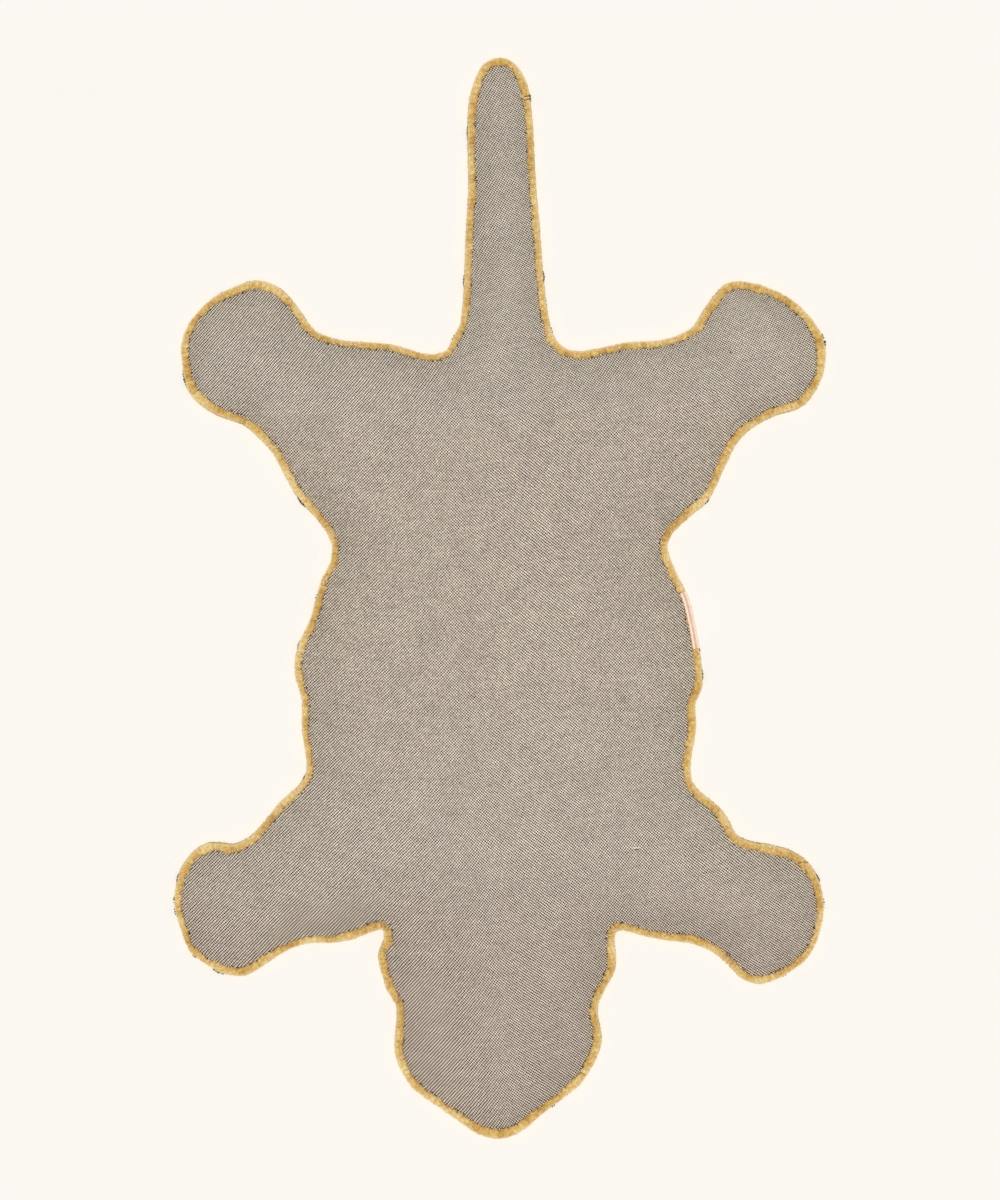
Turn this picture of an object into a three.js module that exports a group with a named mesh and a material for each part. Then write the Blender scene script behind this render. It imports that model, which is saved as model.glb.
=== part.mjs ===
// A children's rug cut to the outline of a spread animal hide, lying pile side down: tufted wool
// pile, the backing cloth over it, wool yarn whipped over the edge all the way round, and a bare
// woven label sewn over the edge at one flank.
// Millimetres, +Z up. The tail points to +Y and the head to -Y, and the rug rests on z = 0.

import * as THREE from "three";

// Heights above the floor and thicknesses.
const PILE_DEPTH = 9;
const CLOTH_THICKNESS = 2;
const PIECE_GAP = 0.3;
const LABEL_THICKNESS = 0.8;

// The label lies over the edge of the +X flank, between these two places along Y.
const LABEL_TOP = 9;
const LABEL_BOTTOM = -70;
const LABEL_STEPS = 8;

// The yarn is drawn tight under the label, and fills out again past its ends.
const LABEL_MARGIN = 16;
const LABEL_FADE = 14;

// The band of yarn has this width where a station's band is 0, and more or less elsewhere.
const BAND_WIDTH = 10.4;

// The longest step between neighbouring rings of points along the rim.
const RIM_STEP = 22;

// Stations of the rug's rim, clockwise from above. `band` widens the yarn band at a station.
const TAIL_RIGHT_EDGE = [
  { x: -3, y: 750, band: 0 },
  { x: 15, y: 746, band: -0.5 },
  { x: 36, y: 718, band: -0.5 },
  { x: 51, y: 559, band: -1.5 },
  { x: 69, y: 382, band: -0.5 },
  { x: 80, y: 356, band: 0 },
  { x: 92, y: 346, band: 0 },
  { x: 111, y: 343, band: 0 },
];
const RIGHT_HIND_PAW = [
  { x: 177, y: 355, band: -1.5 },
  { x: 222, y: 358, band: -1.5 },
  { x: 252, y: 367, band: -1 },
  { x: 269, y: 378, band: 0.5 },
  { x: 280, y: 396, band: 1 },
  { x: 315, y: 437, band: 1.5 },
  { x: 356, y: 436, band: 0 },
  { x: 412, y: 409, band: 0 },
  { x: 449, y: 359, band: 2 },
  { x: 448, y: 310, band: 0.5 },
  { x: 421, y: 268, band: 0 },
  { x: 375, y: 251, band: 0 },
  { x: 334, y: 222, band: 0 },
  { x: 289, y: 136, band: 0.5 },
];
const RIGHT_FLANK = [
  { x: 270, y: 119, band: 0.5 },
  { x: 238, y: 88, band: 0 },
  { x: 232, y: 73, band: 0 },
  { x: 247, y: 30, band: -0.5 },
  { x: 261, y: 3, band: -0.5 },
  { x: 280, y: -94, band: 0 },
  { x: 280, y: -124, band: 0.5 },
  { x: 271, y: -147, band: 0 },
  { x: 272, y: -176, band: 0 },
  { x: 267, y: -254, band: 0 },
];
const RIGHT_FORE_PAW = [
  { x: 305, y: -291, band: 0.5 },
  { x: 318, y: -309, band: 1 },
  { x: 328, y: -328, band: 1 },
  { x: 344, y: -336, band: 1.5 },
  { x: 401, y: -349, band: 2 },
  { x: 426, y: -365, band: 2 },
  { x: 442, y: -390, band: 1 },
  { x: 449, y: -437, band: -1 },
  { x: 428, y: -497, band: -1 },
  { x: 376, y: -532, band: 0 },
  { x: 354, y: -535, band: 0.5 },
  { x: 335, y: -527, band: 0 },
  { x: 314, y: -506, band: -0.5 },
  { x: 293, y: -490, band: 0 },
  { x: 267, y: -479, band: 0 },
  { x: 236, y: -475, band: 0 },
  { x: 205, y: -470, band: -1 },
  { x: 167, y: -461, band: 0 },
];
const HEAD = [
  { x: 160, y: -466, band: 0.5 },
  { x: 160, y: -513, band: 0 },
  { x: 136, y: -566, band: 0 },
  { x: 141, y: -614, band: 1 },
  { x: 131, y: -644, band: 1 },
  { x: 112, y: -673, band: 0.5 },
  { x: 52, y: -721, band: 0.5 },
  { x: 24, y: -743, band: 2 },
  { x: -3, y: -750, band: 3 },
  { x: -31, y: -743, band: 2.5 },
  { x: -60, y: -724, band: 0.5 },
  { x: -90, y: -703, band: 0 },
  { x: -119, y: -682, band: 1 },
  { x: -136, y: -657, band: 1 },
  { x: -146, y: -629, band: 0.5 },
  { x: -144, y: -567, band: 0 },
  { x: -156, y: -545, band: 0 },
  { x: -169, y: -495, band: 0 },
  { x: -161, y: -471, band: 0 },
];
const LEFT_FORE_PAW = [
  { x: -163, y: -459, band: 1 },
  { x: -178, y: -463, band: 1.5 },
  { x: -204, y: -473, band: 1 },
  { x: -232, y: -478, band: -0.5 },
  { x: -268, y: -479, band: -1.5 },
  { x: -298, y: -490, band: -1 },
  { x: -325, y: -507, band: 0.5 },
  { x: -352, y: -523, band: 1.5 },
  { x: -376, y: -523, band: 1 },
  { x: -402, y: -512, band: -1 },
  { x: -430, y: -490, band: -1.5 },
  { x: -443, y: -460, band: -1 },
  { x: -452, y: -425, band: -0.5 },
  { x: -449, y: -395, band: 0 },
  { x: -442, y: -373, band: 0.5 },
  { x: -424, y: -350, band: 1 },
  { x: -401, y: -339, band: 1 },
  { x: -368, y: -341, band: 0.5 },
  { x: -349, y: -332, band: 0 },
  { x: -329, y: -312, band: -0.5 },
  { x: -304, y: -282, band: -1 },
  { x: -279, y: -259, band: -1 },
];
const LEFT_FLANK = [
  { x: -269, y: -241, band: -1 },
  { x: -275, y: -180, band: -1 },
  { x: -275, y: -141, band: -1 },
  { x: -282, y: -116, band: -1 },
  { x: -285, y: -90, band: -1 },
  { x: -279, y: -62, band: -0.5 },
  { x: -264, y: -31, band: -1 },
  { x: -247, y: 27, band: -2.5 },
  { x: -235, y: 51, band: -2 },
  { x: -233, y: 71, band: -1.5 },
  { x: -243, y: 95, band: -0.5 },
];
const LEFT_HIND_PAW = [
  { x: -283, y: 143, band: 0 },
  { x: -299, y: 171, band: 0 },
  { x: -315, y: 201, band: -0.5 },
  { x: -334, y: 222, band: -0.5 },
  { x: -357, y: 241, band: 0 },
  { x: -390, y: 253, band: 1 },
  { x: -416, y: 269, band: 1.5 },
  { x: -434, y: 291, band: 1 },
  { x: -441, y: 325, band: 0 },
  { x: -441, y: 358, band: -1 },
  { x: -427, y: 388, band: -1.5 },
  { x: -398, y: 417, band: -1 },
  { x: -364, y: 434, band: 1 },
  { x: -337, y: 441, band: 2 },
  { x: -310, y: 433, band: 1 },
  { x: -291, y: 417, band: 0 },
  { x: -271, y: 389, band: -1.5 },
  { x: -256, y: 371, band: -2 },
  { x: -223, y: 359, band: -2 },
  { x: -148, y: 352, band: -1.5 },
  { x: -116, y: 342, band: -1.5 },
  { x: -89, y: 339, band: -1.5 },
];
const TAIL_LEFT_EDGE = [
  { x: -74, y: 345, band: -1.5 },
  { x: -65, y: 362, band: -1.5 },
  { x: -56, y: 379, band: -1 },
  { x: -47, y: 511, band: -1 },
  { x: -44, y: 566, band: -1 },
  { x: -42, y: 694, band: 0.5 },
  { x: -22, y: 742, band: 0 },
];
const RIM_STATIONS = [
  ...TAIL_RIGHT_EDGE,
  ...RIGHT_HIND_PAW,
  ...RIGHT_FLANK,
  ...RIGHT_FORE_PAW,
  ...HEAD,
  ...LEFT_FORE_PAW,
  ...LEFT_FLANK,
  ...LEFT_HIND_PAW,
  ...TAIL_LEFT_EDGE,
];

// Sections across the rim. `inset` is the distance inside the rim and `height` is above the floor.
const PILE_SIDE = [
  { inset: 2.4, height: 0 },
  { inset: 0.8, height: 1.6 },
  { inset: 0.8, height: 4.2 },
  { inset: 2.6, height: 5.7 },
  { inset: 3.9, height: PILE_DEPTH },
];
const CLOTH_INSET = 4;
const CLOTH_SIDE = [
  { inset: CLOTH_INSET, height: 0 },
  { inset: CLOTH_INSET, height: CLOTH_THICKNESS },
];

// The yarn goes over the cloth's edge and down the pile's side. `follow` is the share of a
// station's extra band width that a point takes. The label covers the points marked `outer`.
const YARN_SECTION = [
  { inset: BAND_WIDTH, height: 11.6, follow: 1, outer: false },
  { inset: BAND_WIDTH - 0.1, height: 12.3, follow: 1, outer: false },
  { inset: 8.7, height: 13.3, follow: 0.9, outer: true },
  { inset: 5.0, height: 13.9, follow: 0.5, outer: true },
  { inset: 2.6, height: 13.2, follow: 0.2, outer: true },
  { inset: 0.8, height: 11.5, follow: 0, outer: true },
  { inset: 0.0, height: 9.0, follow: 0, outer: true },
  { inset: 0.7, height: 7.0, follow: 0, outer: true },
  { inset: 2.2, height: 6.0, follow: 0, outer: false },
  { inset: 2.7, height: 7.2, follow: 0, outer: false },
  { inset: 3.4, height: 9.0, follow: 0, outer: false },
  { inset: 3.4, height: 11.6, follow: 0, outer: false },
];

const PILE_MATERIAL = new THREE.MeshStandardMaterial({ color: 0xd2a552, roughness: 0.95, metalness: 0 });
const CLOTH_MATERIAL = new THREE.MeshStandardMaterial({ color: 0xb4a998, roughness: 0.9, metalness: 0 });
const YARN_MATERIAL = new THREE.MeshStandardMaterial({ color: 0xdbb66f, roughness: 0.85, metalness: 0 });
const LABEL_MATERIAL = new THREE.MeshStandardMaterial({ color: 0xead2c0, roughness: 0.6, metalness: 0 });

const rim = new THREE.CatmullRomCurve3(
  RIM_STATIONS.map(({ x, y }) => new THREE.Vector3(x, y, 0)),
  true,
  "centripetal",
);

// The rim at t from 0 to 1: its point, the direction into the rug, and the band's extra width.
function rimFrame(t) {
  const along = rim.getTangent(t);
  const place = t * RIM_STATIONS.length;
  const station = Math.floor(place) % RIM_STATIONS.length;
  const next = (station + 1) % RIM_STATIONS.length;
  return {
    point: rim.getPoint(t),
    inward: new THREE.Vector3(along.y, -along.x, 0).normalize(),
    band: THREE.MathUtils.lerp(RIM_STATIONS[station].band, RIM_STATIONS[next].band, place % 1),
  };
}

// Frames all the way round, at every station and at even steps between them.
function rimFrames() {
  const corners = rim.points;
  return corners.flatMap((corner, i) => {
    const span = corner.distanceTo(corners[(i + 1) % corners.length]);
    const steps = Math.ceil(span / RIM_STEP);
    return Array.from({ length: steps }, (_, k) => rimFrame((i + k / steps) / corners.length));
  });
}

function pointAt(frame, inset, height) {
  return frame.point.clone().addScaledVector(frame.inward, inset).setZ(height);
}

// How far the label squeezes the yarn at a frame, from 0 to 1.
function labelPressure(frame) {
  if (frame.point.x < 0) return 0;
  const middle = (LABEL_TOP + LABEL_BOTTOM) / 2;
  const reach = (LABEL_TOP - LABEL_BOTTOM) / 2 + LABEL_MARGIN;
  const past = Math.abs(frame.point.y - middle) - reach;
  return 1 - THREE.MathUtils.smoothstep(past, 0, LABEL_FADE);
}

// The yarn section's points with the outer ones sunk below the surface by `depth`.
function sunkSection(depth) {
  return YARN_SECTION.map((row, i) => {
    if (!row.outer) return row;
    const before = YARN_SECTION[i - 1];
    const after = YARN_SECTION[i + 1];
    const run = new THREE.Vector2(after.inset - before.inset, after.height - before.height).normalize();
    return { ...row, inset: row.inset - run.y * depth, height: row.height + run.x * depth };
  });
}

function sectionAt(frame, rows) {
  return rows.map((row) => pointAt(frame, row.inset + row.follow * frame.band, row.height));
}

// A closed solid skinned over rings of equal length. With `cap`, the triangles of one ring's
// face, both ends are closed. Without it the last ring joins the first.
function solidThrough(rings, cap) {
  const count = rings[0].length;
  const triangles = [];
  const bands = cap ? rings.length - 1 : rings.length;
  for (let i = 0; i < bands; i++) {
    const lower = i * count;
    const upper = ((i + 1) % rings.length) * count;
    for (let k = 0; k < count; k++) {
      const next = (k + 1) % count;
      triangles.push(lower + k, upper + next, lower + next);
      triangles.push(lower + k, upper + k, upper + next);
    }
  }
  if (cap) {
    const top = (rings.length - 1) * count;
    for (const [a, b, c] of cap) {
      triangles.push(a, b, c);
      triangles.push(top + a, top + c, top + b);
    }
  }
  const geometry = new THREE.BufferGeometry().setFromPoints(rings.flat());
  geometry.setIndex(triangles);
  geometry.computeVertexNormals();
  return geometry;
}

// The triangles that fill a ring's flat outline, turned the way the ring runs.
function capOf(outline) {
  const faces = THREE.ShapeUtils.triangulateShape(outline, []);
  return THREE.ShapeUtils.isClockWise(outline) ? faces.map(([a, b, c]) => [a, c, b]) : faces;
}

function namedMesh(name, geometry, material) {
  const mesh = new THREE.Mesh(geometry, material);
  mesh.name = name;
  return mesh;
}

// A flat layer whose side follows `side`, from its underside up.
function layer(name, frames, side, material) {
  const rings = side.map((row) => frames.map((frame) => pointAt(frame, row.inset, row.height)));
  const outline = rings[0].map((point) => new THREE.Vector2(point.x, point.y));
  return namedMesh(name, solidThrough(rings, capOf(outline)), material);
}

function tuftedPile(frames) {
  return layer("tufted_pile", frames, PILE_SIDE, PILE_MATERIAL);
}

function backingCloth(frames) {
  const cloth = layer("backing_cloth", frames, CLOTH_SIDE, CLOTH_MATERIAL);
  cloth.position.z = PILE_DEPTH + PIECE_GAP;
  return cloth;
}

function edgeWhipping(frames) {
  const rings = frames.map((frame) => {
    const depth = labelPressure(frame) * (LABEL_THICKNESS + PIECE_GAP);
    return sectionAt(frame, sunkSection(depth));
  });
  return namedMesh("edge_whipping", solidThrough(rings), YARN_MATERIAL);
}

// The rim's t where it passes a given Y on the +X flank, found by halving.
function flankAt(y) {
  const first = RIM_STATIONS.indexOf(RIGHT_FLANK[0]);
  let above = first / RIM_STATIONS.length;
  let below = (first + RIGHT_FLANK.length - 1) / RIM_STATIONS.length;
  while (below - above > 1e-6) {
    const middle = (above + below) / 2;
    if (rim.getPoint(middle).y > y) above = middle;
    else below = middle;
  }
  return above;
}

function sewnLabel() {
  const outside = YARN_SECTION.filter((row) => row.outer);
  const inside = sunkSection(LABEL_THICKNESS).filter((row) => row.outer).reverse();
  const section = [...outside, ...inside];
  const start = flankAt(LABEL_TOP);
  const end = flankAt(LABEL_BOTTOM);
  const rings = Array.from({ length: LABEL_STEPS + 1 }, (_, i) => {
    const t = THREE.MathUtils.lerp(start, end, i / LABEL_STEPS);
    return sectionAt(rimFrame(t), section);
  });
  const outline = section.map((row) => new THREE.Vector2(row.inset, row.height));
  return namedMesh("sewn_label", solidThrough(rings, capOf(outline)), LABEL_MATERIAL);
}

function animalHideRug() {
  const frames = rimFrames();
  const rug = new THREE.Group();
  rug.add(tuftedPile(frames));
  rug.add(backingCloth(frames));
  rug.add(edgeWhipping(frames));
  rug.add(sewnLabel());
  return rug;
}

export default animalHideRug();
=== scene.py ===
"""The looks of a children's rug cut to an animal hide's outline, lying pile side down.

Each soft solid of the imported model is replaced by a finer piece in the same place: the woven
backing cloth, the separate turns of yarn round its edge, the label and the tufted pile.
"""

import math

import bpy
import numpy as np
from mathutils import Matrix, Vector, geometry, kdtree, noise


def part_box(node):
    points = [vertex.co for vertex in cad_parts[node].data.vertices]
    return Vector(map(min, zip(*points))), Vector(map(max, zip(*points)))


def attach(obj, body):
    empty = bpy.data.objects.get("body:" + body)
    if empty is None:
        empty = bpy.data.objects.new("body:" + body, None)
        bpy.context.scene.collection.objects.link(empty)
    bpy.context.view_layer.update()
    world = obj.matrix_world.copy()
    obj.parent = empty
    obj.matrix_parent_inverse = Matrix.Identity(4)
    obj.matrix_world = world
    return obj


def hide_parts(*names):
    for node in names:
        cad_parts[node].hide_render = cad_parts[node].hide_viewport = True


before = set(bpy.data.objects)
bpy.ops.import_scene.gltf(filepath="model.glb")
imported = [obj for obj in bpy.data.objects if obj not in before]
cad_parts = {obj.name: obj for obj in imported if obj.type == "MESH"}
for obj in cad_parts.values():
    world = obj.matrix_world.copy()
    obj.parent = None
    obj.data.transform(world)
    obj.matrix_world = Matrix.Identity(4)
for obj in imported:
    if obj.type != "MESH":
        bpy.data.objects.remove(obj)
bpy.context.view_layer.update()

MM = 0.001
MICRON = 1e-6
RANDOM_SEED = 20

# A pixel of the photograph on the floor, the height of floor that the photograph shows, and how
# far its middle lies from the rug's.
PIXEL = 1.387 * MM
VIEW_HEIGHT = 1200 * PIXEL
VIEW_SHIFT_Y = -1.7 * PIXEL
CAMERA_LENS = 85
SENSOR = 36

# The studio: a wide floor, even light from all round, and a soft sun from just off straight above.
FLOOR_SIZE = 14
FLOOR_COLOUR = (0.927, 0.900, 0.853, 1)
SKY_STRENGTH = 0.28
SUN_STRENGTH = 2.40
SUN_ANGLE = math.radians(2.5)
SUN_TILT = math.radians(-0.5)

# Heights of the layers, and the label's place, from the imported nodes.
PILE_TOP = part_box("tufted_pile")[1].z
CLOTH_LOW, CLOTH_TOP = (corner.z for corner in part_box("backing_cloth"))
YARN_LOW, YARN_TOP = (corner.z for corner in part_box("edge_whipping"))
LABEL_BOTTOM_Y, LABEL_TOP_Y = (corner.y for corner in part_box("sewn_label"))

# The cloth's solid ends CLOTH_INSET inside the rug's rim, and lies PIECE_GAP from its neighbours.
CLOTH_INSET = 4 * MM
PIECE_GAP = 0.3 * MM
LEVEL_ERROR = 0.05 * MM
NARROWEST_BAND = 6 * MM
RIM_STEP = 1 * MM
CURVE_STEPS = 16

# The whipping: three turns of yarn to a stitch, drawn together where they enter the cloth.
STITCH = 7 * MM
HOLES_TO_STITCH = 1.5
TURNS = 3
TURN_HALF_WIDTH = 2.0 * MM
TURN_HALF_THICKNESS = 0.95 * MM
TURN_SIDES = 6
TURNS_TOGETHER = 0.3
TURN_LEAN = 2.0 * MM
PARTED_SINK = 1.1 * MM
PARTED_SHADE = -0.5
CORE_SINK = 0.45 * MM
CORE_STEP = 6 * MM

# The yarn's way over the edge, from the cloth to the pile: how far it lies inside the rim, as a
# share of the band's width and millimetres more, its height, and its thickness.
YARN_WAY = [
    (1.0, 0.2, CLOTH_TOP - 0.6 * MM, 0.6),
    (1.0, -0.7, CLOTH_TOP + 0.5 * MM, 0.85),
    (0.80, 0.0, YARN_TOP - 1.4 * MM, 1.0),
    (0.52, 0.0, YARN_TOP - 1.0 * MM, 1.0),
    (0.28, 0.0, YARN_TOP - 1.1 * MM, 1.0),
    (0.0, 1.45, YARN_TOP - 1.8 * MM, 1.0),
    (0.0, 1.05, YARN_TOP - 4.2 * MM, 1.0),
    (0.0, 1.5, YARN_TOP - 6.5 * MM, 0.9),
    (0.0, 2.6, YARN_LOW + 0.6 * MM, 0.6),
]
YARN_MIDDLE = YARN_TOP - 5 * MM

# Loose fibres on the yarn. This share of them stands on the rim side, between these steps of the
# yarn's way, and the others on its top.
FUZZ_COUNT = 8500
FUZZ_ON_RIM = 0.6
FUZZ_RIM_STEPS = (4.2, 6.2)
FUZZ_TOP_STEPS = (0.8, 4.2)
FUZZ_RADIUS = 0.1 * MM

# The label: how it presses on the yarn, how its inner edge wanders along it, and its way over
# the band, as shares of the band's width and as millimetres below the yarn's top.
LABEL_SINK = 1.1 * MM
LABEL_MARGIN = 12 * MM
LABEL_STEPS = 72
LABEL_THICKNESS = 0.5 * MM
LABEL_WIDTH = 14 * MM
LABEL_RIB = 0.8 * MM
LABEL_THREAD = 0.5 * MM
LABEL_CREASE = 4.4 * MM
LABEL_INNER = {"along": (0, 0.3, 0.75, 1), "share": (0.90, 0.90, 0.92, 0.95)}
LABEL_SHARES = (1.0, 0.88, 0.7, 0.5, 0.32, 0.16, 0.05, 0.0, 0.0, 0.03, 0.1)
LABEL_DROPS = (1.3, 0.55, 0.3, 0.75, 0.5, 0.8, 1.5, 2.6, 3.9, 5.2, 6.2)

# The pitch of the backing's threads, how far and how often they sway, and the slants from which
# the cloth looks pulled and at which it looks wholly so.
WARP_PITCH = 2.0 * MM
WEFT_PITCH = 2.1 * MM
THREAD_SWAY = 1.2 * MM
SWAYS_IN_METRE = 7
PULLED_FROM, PULLED_TO = 0.03, 0.13

# The cloth's rings of points, in millimetres past the yarn, its dip there, the dents of its
# stitches, its soft swell, and how it darkens, in red, green and blue, with painted shade at the edge,
# and at the head.
CLOTH_RINGS_PAST_YARN = (-2.4, -1.1, 0.0, 1.0, 2.0, 3.2, 5.0, 8.0, 12.0)
CLOTH_CLEARANCE = 0.2 * MM
YARN_DIP = 0.3 * MM
YARN_DIP_REACH = 3.5 * MM
STITCH_DENT = 0.8 * MM
STITCH_DENT_REACH = 2.2 * MM
SWELL = 0.5 * MM
SWELLS_IN_METRE = 9
SWELL_FROM_YARN = 30 * MM
EDGE_DARKER = 0.15
EDGE_DARKER_REACH = 32 * MM
EDGE_DARKER_TONES = (1.10, 1.14, 1.36)
HEAD_DARKER_FROM, HEAD_DARKER_TO = 0.30, 0.52
HEAD_DARKER_TONES = (0.06, 0.10, 0.10)

# The pile, in millimetres where MM is not named: the insets and heights of its side under the
# rim, the insets of its rings, its lumpy face, and the heights of its rows of rim tufts with how
# far they reach past the rim.
PILE_SIDE = [(1.9, 0.9), (1.5, 2.4), (1.7, 4.4), (3.0, 5.6)]
PILE_RINGS = (3.6, 6.0, 9.0, 12.0)
PILE_LIFT = 0.9 * MM
PILE_LUMP = 1.6 * MM
PILE_LUMPS_IN_METRE = 240
PILE_FACE_DEPTH = 2 * MM
PILE_FACE_FROM, PILE_FACE_TO = 3.7 * MM, 9 * MM
PILE_DARK_MARGIN = 30 * MM
RIM_TUFT_DARK_MARGIN = 6 * MM
RIM_TUFT_PITCH = 3.3 * MM
RIM_TUFT_RADIUS = 1.0 * MM
RIM_TUFT_ROOT = 2.4 * MM
RIM_TUFT_LOWEST = 1.1 * MM
RIM_TUFT_ROWS = [(1.3, 0.1), (3.0, 0.5), (4.8, 0.1)]

# Dark pile yarn that peeps past the rim: its x and y in metres, and its length along the rim and
# how far it shows past it in millimetres, over SPECK_MORE. It starts SPECK_OVER inside the rim.
SPECK_MORE = 0.5 * MM
SPECK_OVER = 0.9 * MM
SPECK_TUFT_PITCH = 1.7 * MM
DEEP_SPECK = (0.277, -0.0712, 2.5, 1.4)
DEEP_SPECK_OVER = 3.0 * MM
RIM_SPECKS = [
    (0.042, 0.695, 7, 0.9),
    (-0.044, 0.647, 12, 1.0),
    (-0.051, 0.441, 13, 1.4),
    (-0.065, 0.362, 4, 1.2),
    (0.060, 0.447, 12, 1.4),
    (0.062, 0.411, 4, 1.0),
    (0.071, 0.372, 4, 1.0),
    (0.451, 0.358, 15, 2.2),
    (-0.438, 0.303, 22, 1.3),
    (-0.350, 0.440, 5, 0.8),
    (-0.388, 0.423, 4, 0.8),
    (-0.275, 0.134, 15, 2.2),
    (0.286, 0.135, 5, 1.2),
    (0.280, -0.106, 12, 1.2),
    DEEP_SPECK,
    (-0.255, 0.002, 5, 1.2),
    (-0.277, -0.065, 5, 0.8),
    (0.440, -0.388, 10, 1.8),
    (0.448, -0.421, 5, 1.6),
    (0.394, -0.523, 4, 1.4),
    (-0.447, -0.387, 9, 1.4),
    (-0.452, -0.418, 6, 1.4),
    (-0.449, -0.434, 9, 1.4),
    (-0.424, -0.496, 6, 1.6),
    (-0.390, -0.517, 16, 2.2),
    (0.074, -0.704, 4, 1.2),
    (-0.271, -0.249, 4, 1.2),
]

# Where the turns of yarn part and show a dark line across the band: the parted turn sinks, and its
# darkest tone is painted shade in the gap.
YARN_PARTINGS = [(0.277, -0.124), (0.040, 0.697), (0.040, 0.692)]

# Bits of fibre caught on the cloth or worked into it, and a painted shadow under the pale slub:
# their wool, x and y in metres, length and width in millimetres, and the degrees they are turned from
# X.
FIBRE_BITS = [
    ("pale", 0.188, -0.346, 12, 1.7, 3),
    # This dark bit is a painted shadow under the pale slub.
    ("dark", 0.190, -0.3487, 7, 1.5, 5),
    ("dark", 0.320, 0.341, 1.9, 1.5, 40),
    ("dark", 0.244, 0.198, 2.2, 1.7, 60),
    ("dark", -0.035, -0.137, 3.0, 1.6, 20),
    ("dark", -0.193, -0.308, 2.8, 1.6, 10),
    ("red", 0.2663, -0.1265, 2.2, 1.4, 70),
    ("red", 0.2672, -0.1300, 1.6, 1.3, 0),
    ("red", 0.2656, -0.1330, 2.4, 1.3, 80),
]

# On the band: a knot at the tip of the tail, with brown ends across it, and dark bits by the right
# fore paw that are painted shade in a crease.
KNOT_BITS = [
    ("yellow", 0.0305, 0.6955, 7.0, 4.4, 12),
    ("yellow", 0.0345, 0.6930, 5.0, 3.2, -20),
    ("red", 0.0375, 0.6962, 8.0, 1.3, 8),
    ("red", 0.0385, 0.6922, 7.0, 1.1, -3),
    ("red", 0.0415, 0.6965, 3.0, 2.6, 30),
    ("red", 0.0420, 0.6925, 2.8, 2.0, 0),
    # Painted shade in a crease by the right fore paw, drawn as dark bits.
    ("red", 0.4165, -0.3665, 7.5, 1.2, 18),
    ("red", 0.4235, -0.3660, 7.5, 1.2, -14),
]

# Each wool's tones, from the darkest to the palest.
WOOLS = {
    "edge": ((198, 149, 70), (229, 187, 109), (250, 223, 162)),
    "fuzz": ((244, 206, 130), (255, 226, 160), (255, 242, 204)),
    "core": ((196, 148, 76), (214, 168, 94), (228, 186, 112)),
    # The rim tufts are paler than the pile's own wool: painted light on their shaded side under the
    # rim.
    "rim": ((222, 178, 100), (242, 206, 132), (254, 232, 178)),
    "dark_rim": ((34, 24, 18), (56, 40, 28), (86, 62, 42)),
    "peeping": ((32, 18, 10), (50, 31, 18), (78, 52, 30)),
    "pale": ((250, 236, 220), (255, 246, 236), (255, 252, 246)),
    "dark": ((24, 18, 14), (44, 34, 26), (70, 56, 44)),
    "red": ((56, 16, 12), (92, 30, 22), (126, 52, 36)),
    "yellow": ((204, 156, 76), (232, 190, 112), (248, 220, 160)),
}


# ---- the rim, read from the solids


def signed_area(points):
    """The area inside a closed loop, below zero where the loop is clockwise."""
    x, y = points.T
    return np.sum(x * np.roll(y, -1) - np.roll(x, -1) * y) / 2


def cap_outline(node, height):
    """The outline of a node's flat face at that height, counter-clockwise, as an N by 2 array."""
    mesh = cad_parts[node].data
    keys = [tuple(round(c / MICRON) for c in v.co) for v in mesh.vertices]
    level = round(height / MICRON)
    uses = {}
    for face in mesh.polygons:
        corners = [keys[i] for i in face.vertices]
        if all(abs(corner[2] - level) <= 2 for corner in corners):
            for edge in zip(corners, corners[1:] + corners[:1]):
                uses.setdefault(frozenset(edge), []).append(edge)
    following = dict(edges[0] for edges in uses.values() if len(edges) == 1)
    start = min(following)
    loop = [start]
    while following[loop[-1]] != start:
        loop.append(following[loop[-1]])
    points = np.array([corner[:2] for corner in loop], float) * MICRON
    return points if signed_area(points) > 0 else points[::-1]


def even_loop(points, step):
    """A smooth closed curve through the points, as points at even steps."""
    before, here, after, beyond = (np.roll(points, k, axis=0) for k in (1, 0, -1, -2))
    t = (np.arange(CURVE_STEPS) / CURVE_STEPS)[None, :, None]
    p0, p1, p2, p3 = (p[:, None, :] for p in (before, here, after, beyond))
    curve = p1 + 0.5 * (
        (p2 - p0) * t
        + (2 * p0 - 5 * p1 + 4 * p2 - p3) * t**2
        + (3 * p1 - p0 - 3 * p2 + p3) * t**3
    )
    curve = curve.reshape(-1, 2)
    closed = np.vstack([curve, curve[:1]])
    along = np.concatenate([[0], np.cumsum(np.linalg.norm(np.diff(closed, axis=0), axis=1))])
    count = round(along[-1] / step)
    at = np.arange(count) * along[-1] / count
    return np.column_stack([np.interp(at, along, closed[:, k]) for k in (0, 1)])


def inward_of(points):
    """Unit vectors into a counter-clockwise loop."""
    along = np.roll(points, -1, axis=0) - np.roll(points, 1, axis=0)
    along /= np.linalg.norm(along, axis=1)[:, None]
    return np.column_stack([-along[:, 1], along[:, 0]])


def plan_tree(points):
    """A tree that finds plan points by their place."""
    tree = kdtree.KDTree(len(points))
    for i, (x, y) in enumerate(points):
        tree.insert((x, y, 0), i)
    tree.balance()
    return tree


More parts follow.
